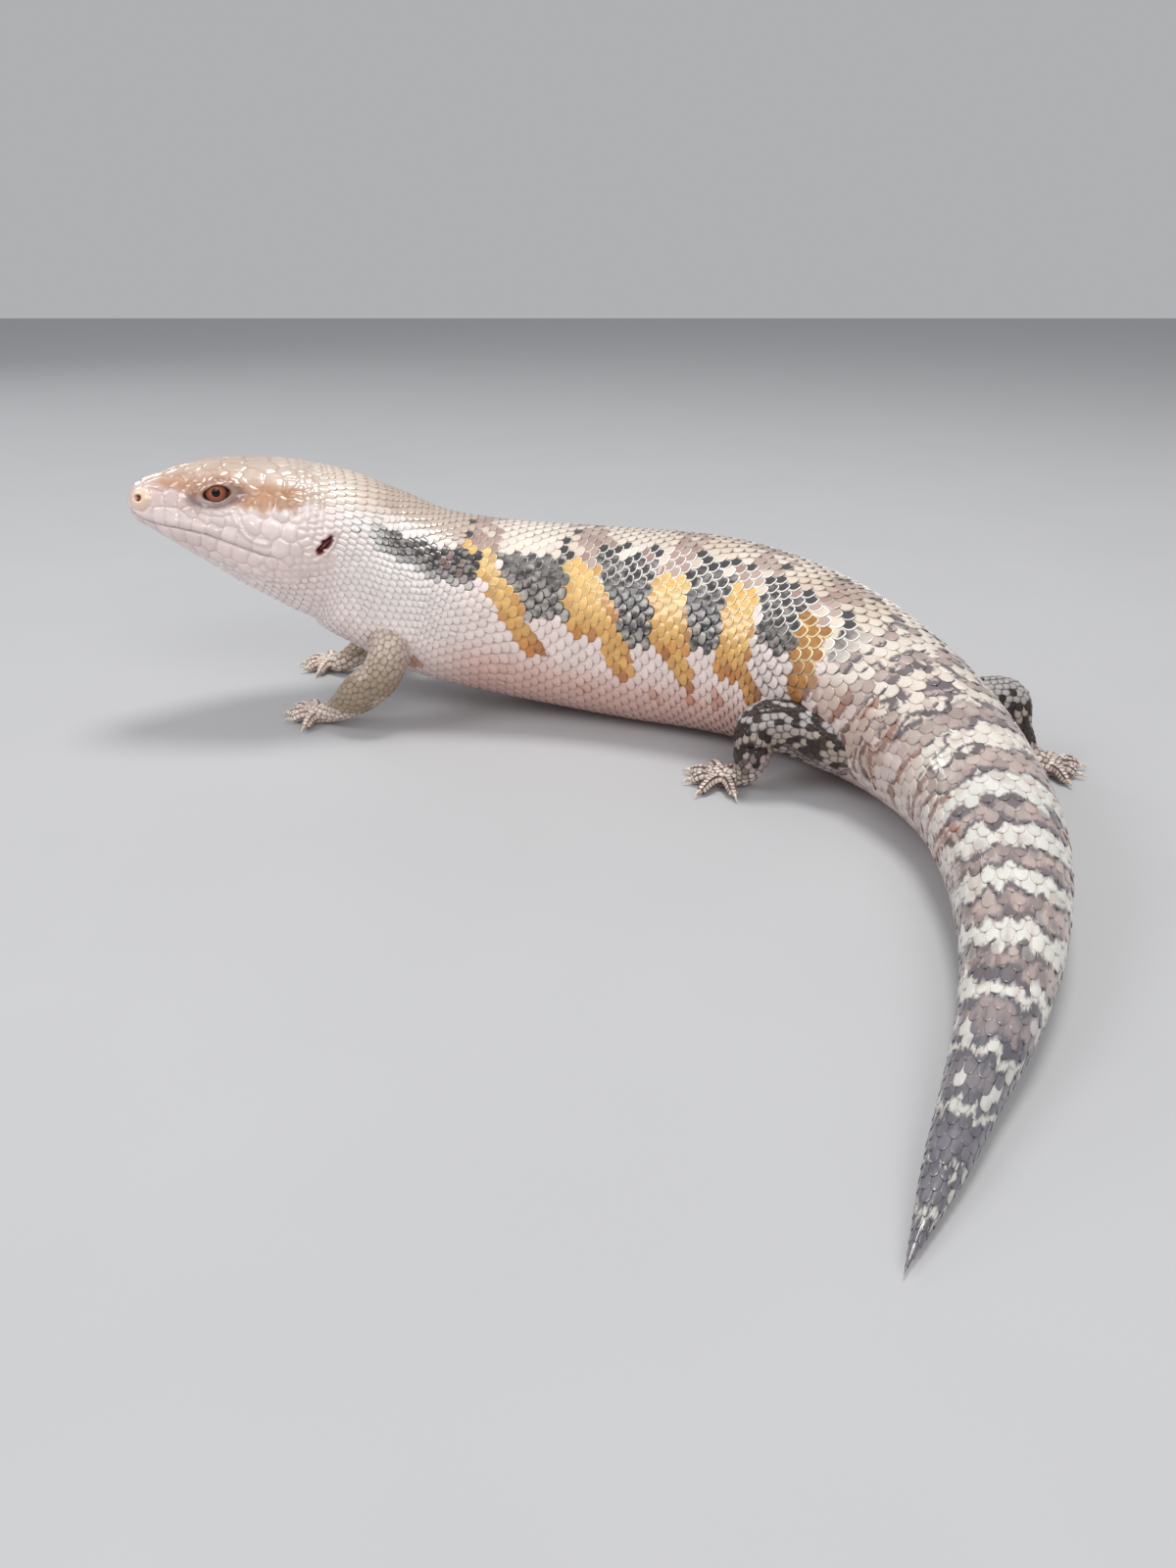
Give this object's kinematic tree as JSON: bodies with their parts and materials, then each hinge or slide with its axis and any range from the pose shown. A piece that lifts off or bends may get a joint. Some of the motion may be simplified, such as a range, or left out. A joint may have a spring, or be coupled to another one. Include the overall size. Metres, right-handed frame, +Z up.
{
  "type": "northern blue-tongued skink, museum model",
  "caption": "Still life-size model of a northern blue-tongued skink lying alert on its belly, head raised, tail curved round to its left.",
  "frame": {"origin": "on the flat of the belly under the middle of the trunk, at floor level", "axes": "+Z up from the floor; the animal faces -X with its left side towards -Y; the tail sweeps round towards -Y"},
  "size_m": [0.2777, 0.2863, 0.0809],
  "materials": {
    "head_skin": "glossy smooth head shields, tan above and pinkish white below",
    "body_scales": "glossy overlapping scales, cream back, yellow and grey-black flank blotches, pinkish white belly, pale tail with slate-brown bands",
    "foreleg_scales": "small satin scales, khaki",
    "hindleg_scales": "small satin scales, near black with cream spots",
    "eye": "wet gloss, red-orange iris and round black pupil",
    "claw": "pale translucent horn"
  },
  "bodies": {
    "root": {"head": "head_skin", "lower_jaw": "head_skin", "neck": "head_skin", "trunk_front": "body_scales", "trunk_rear": "body_scales", "tail_base": "body_scales", "tail_mid": "body_scales", "tail_tip": "body_scales", "eye_left": "eye", "eye_right": "eye", "fore_left_upper": "foreleg_scales", "fore_left_lower": "foreleg_scales", "fore_left_foot": "foreleg_scales", "fore_left_claw_1": "claw", "fore_left_claw_2": "claw", "fore_left_claw_3": "claw", "fore_left_claw_4": "claw", "fore_left_claw_5": "claw", "fore_right_upper": "foreleg_scales", "fore_right_lower": "foreleg_scales", "fore_right_foot": "foreleg_scales", "fore_right_claw_1": "claw", "fore_right_claw_2": "claw", "fore_right_claw_3": "claw", "fore_right_claw_4": "claw", "fore_right_claw_5": "claw", "hind_left_upper": "hindleg_scales", "hind_left_lower": "hindleg_scales", "hind_left_foot": "hindleg_scales", "hind_left_claw_1": "claw", "hind_left_claw_2": "claw", "hind_left_claw_3": "claw", "hind_left_claw_4": "claw", "hind_left_claw_5": "claw", "hind_right_upper": "hindleg_scales", "hind_right_lower": "hindleg_scales", "hind_right_foot": "hindleg_scales", "hind_right_claw_1": "claw", "hind_right_claw_2": "claw", "hind_right_claw_3": "claw", "hind_right_claw_4": "claw", "hind_right_claw_5": "claw"}
  },
  "joints": []
}
